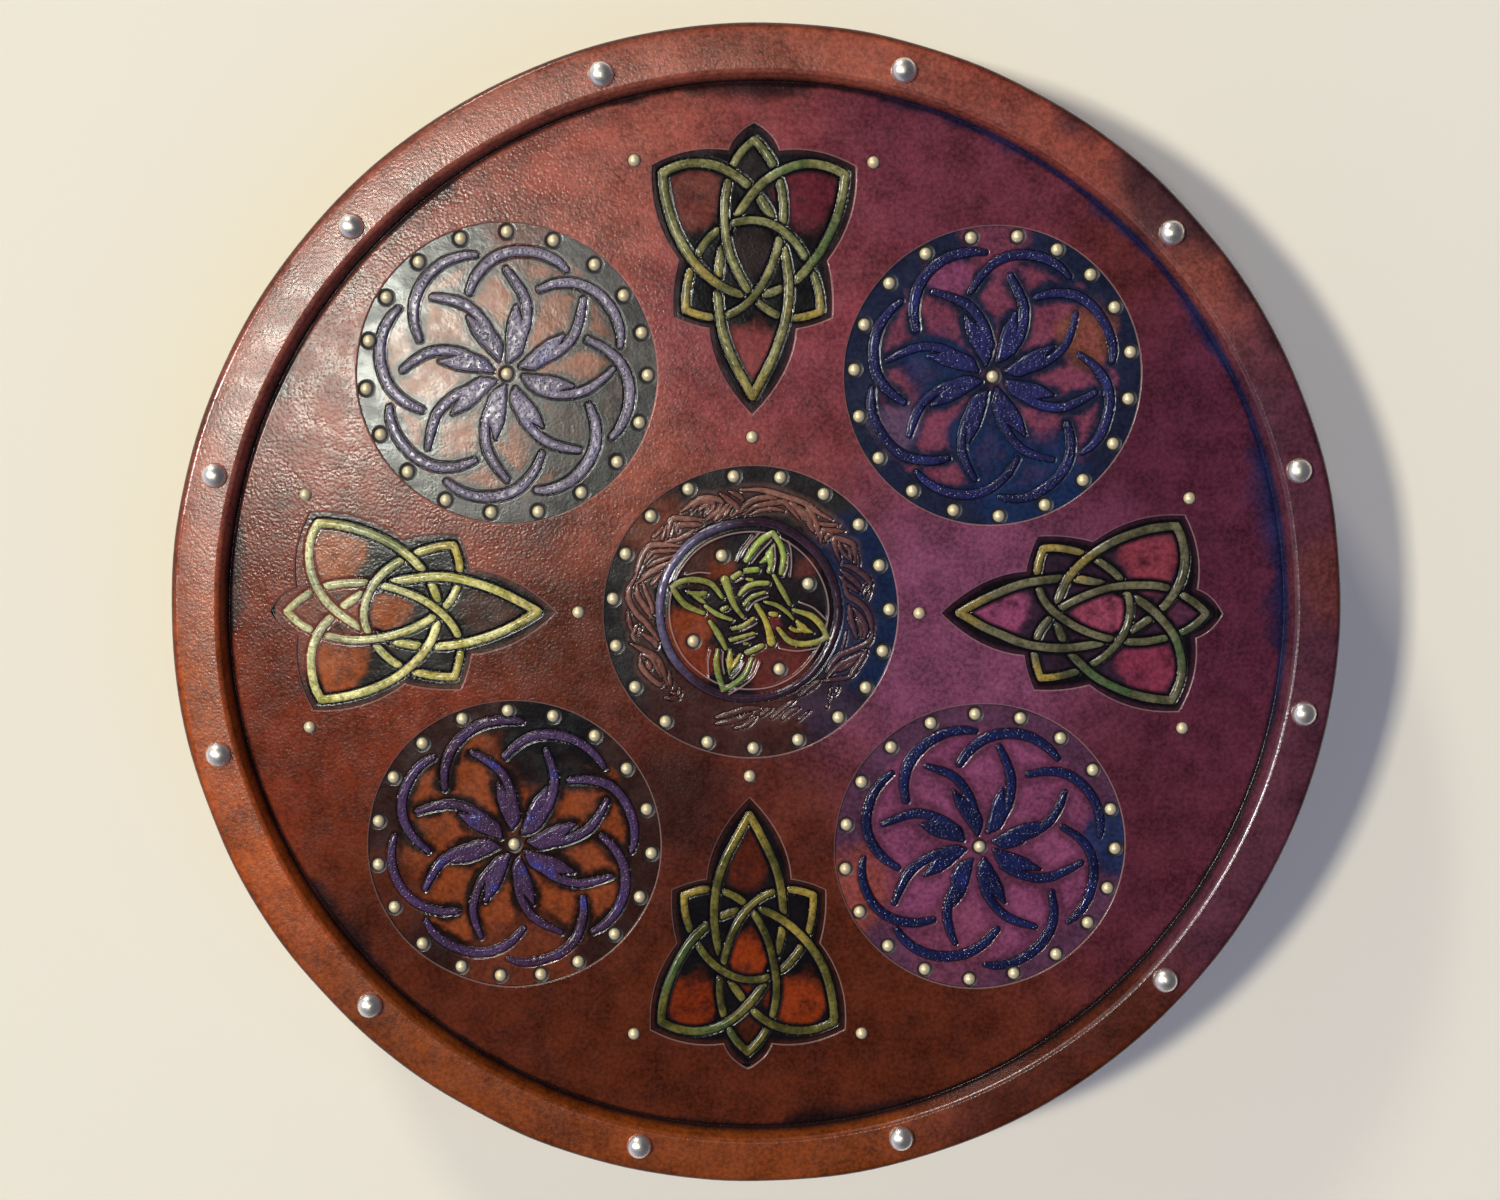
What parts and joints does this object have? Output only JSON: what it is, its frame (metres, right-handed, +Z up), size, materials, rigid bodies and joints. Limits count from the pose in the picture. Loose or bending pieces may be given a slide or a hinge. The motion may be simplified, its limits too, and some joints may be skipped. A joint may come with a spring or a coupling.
{
  "type": "targe",
  "caption": "Round wooden shield faced with carved and dyed leather, with domed nails on its raised rim and two leather loops on its back.",
  "frame": {"origin": "under the middle of the board, on the surface that the two loops rest on", "axes": "+Z up, out of the carved face; +Y towards the top of the pattern; +X towards the arm loop, along the forearm"},
  "size_m": [0.508, 0.508, 0.0866],
  "materials": {
    "wood": "bare, lightly oiled",
    "hide": "carved, dyed in many colours and waxed",
    "strap": "dyed dark brown, waxed",
    "nickel": "polished nickel plate",
    "pale_brass": "bright",
    "steel": "blued"
  },
  "bodies": {
    "root": {"board": "wood", "leather_cover": "hide", "rim_nail_01": "nickel", "rim_nail_02": "nickel", "rim_nail_03": "nickel", "rim_nail_04": "nickel", "rim_nail_05": "nickel", "rim_nail_06": "nickel", "rim_nail_07": "nickel", "rim_nail_08": "nickel", "rim_nail_09": "nickel", "rim_nail_10": "nickel", "rim_nail_11": "nickel", "rim_nail_12": "nickel", "tack_top_knot_1": "pale_brass", "tack_top_knot_2": "pale_brass", "tack_top_knot_3": "pale_brass", "tack_left_knot_1": "pale_brass", "tack_left_knot_2": "pale_brass", "tack_left_knot_3": "pale_brass", "tack_bottom_knot_1": "pale_brass", "tack_bottom_knot_2": "pale_brass", "tack_bottom_knot_3": "pale_brass", "tack_right_knot_1": "pale_brass", "tack_right_knot_2": "pale_brass", "tack_right_knot_3": "pale_brass", "tack_upper_left_whirl": "pale_brass", "tack_upper_right_whirl": "pale_brass", "tack_lower_left_whirl": "pale_brass", "tack_lower_right_whirl": "pale_brass", "tack_middle_1": "pale_brass", "tack_middle_2": "pale_brass", "tack_middle_3": "pale_brass", "tack_middle_4": "pale_brass", "arm_loop": "strap", "hand_loop": "strap", "arm_loop_nail_1": "steel", "arm_loop_nail_2": "steel", "arm_loop_nail_3": "steel", "arm_loop_nail_4": "steel", "hand_loop_nail_1": "steel", "hand_loop_nail_2": "steel", "hand_loop_nail_3": "steel", "hand_loop_nail_4": "steel"}
  },
  "joints": []
}
